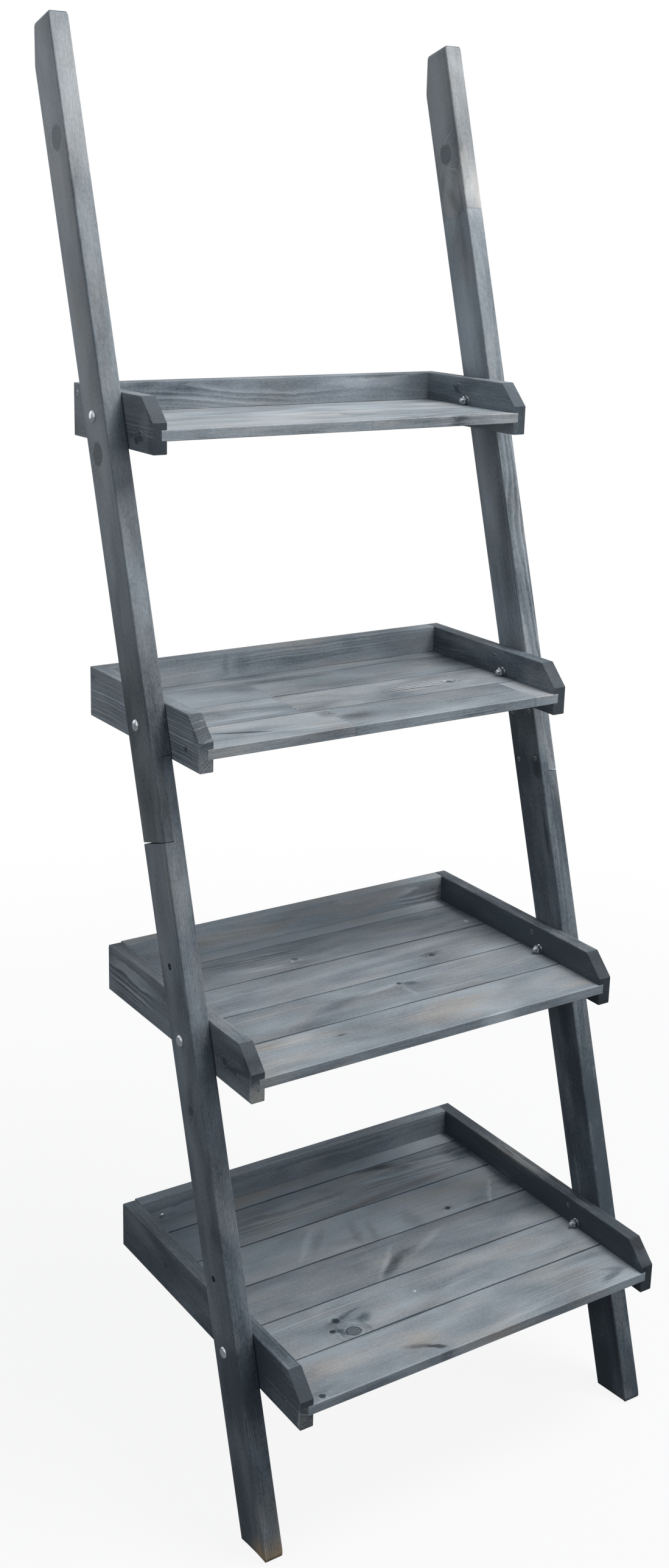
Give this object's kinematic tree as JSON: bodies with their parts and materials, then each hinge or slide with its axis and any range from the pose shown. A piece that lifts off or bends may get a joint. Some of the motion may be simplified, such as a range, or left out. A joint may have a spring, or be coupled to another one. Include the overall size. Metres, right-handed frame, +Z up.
{
  "type": "plant ladder stand",
  "caption": "Wooden plant ladder that leans on a wall, with stepped open-fronted trays bolted between two sloping rails and growing deeper towards the floor.",
  "frame": {"origin": "on the floor, midway between the rails and midway from the bottom tray's front to the wall plane", "axes": "+X to the right seen from the front, +Y back to the wall, +Z up; the rails lean 16.8 degrees back towards +Y"},
  "size_m": [0.5986, 0.593, 1.749],
  "materials": {
    "wood_rail": "blue-grey stained softwood, planed, matt",
    "wood_tray": "blue-grey stained softwood, planed, matt",
    "wood_floor": "pale blue-grey stained softwood, planed, matt",
    "zinc": "zinc plated, dull"
  },
  "bodies": {
    "root": {"rail_left_lower": "wood_rail", "rail_left_upper": "wood_rail", "rail_right_lower": "wood_rail", "rail_right_upper": "wood_rail", "tray1_side_left": "wood_tray", "tray1_side_right": "wood_tray", "tray1_back": "wood_tray", "tray1_floor_1": "wood_floor", "tray1_floor_2": "wood_floor", "tray1_floor_rear": "wood_floor", "tray2_side_left": "wood_tray", "tray2_side_right": "wood_tray", "tray2_back": "wood_tray", "tray2_floor_1": "wood_floor", "tray2_floor_2": "wood_floor", "tray2_floor_3": "wood_floor", "tray2_floor_rear": "wood_floor", "tray3_side_left": "wood_tray", "tray3_side_right": "wood_tray", "tray3_back": "wood_tray", "tray3_floor_1": "wood_floor", "tray3_floor_2": "wood_floor", "tray3_floor_3": "wood_floor", "tray3_floor_4": "wood_floor", "tray3_floor_rear": "wood_floor", "tray4_side_left": "wood_tray", "tray4_side_right": "wood_tray", "tray4_back": "wood_tray", "tray4_floor_1": "wood_floor", "tray4_floor_2": "wood_floor", "tray4_floor_3": "wood_floor", "tray4_floor_4": "wood_floor", "tray4_floor_5": "wood_floor", "tray4_floor_rear": "wood_floor", "carriage_bolts": "zinc", "bolt_washers": "zinc", "hex_nuts": "zinc", "rail_screws": "zinc", "back_screws": "zinc", "floor_screws": "zinc", "lap_screws": "zinc", "back_face_screw": "zinc"}
  },
  "joints": []
}
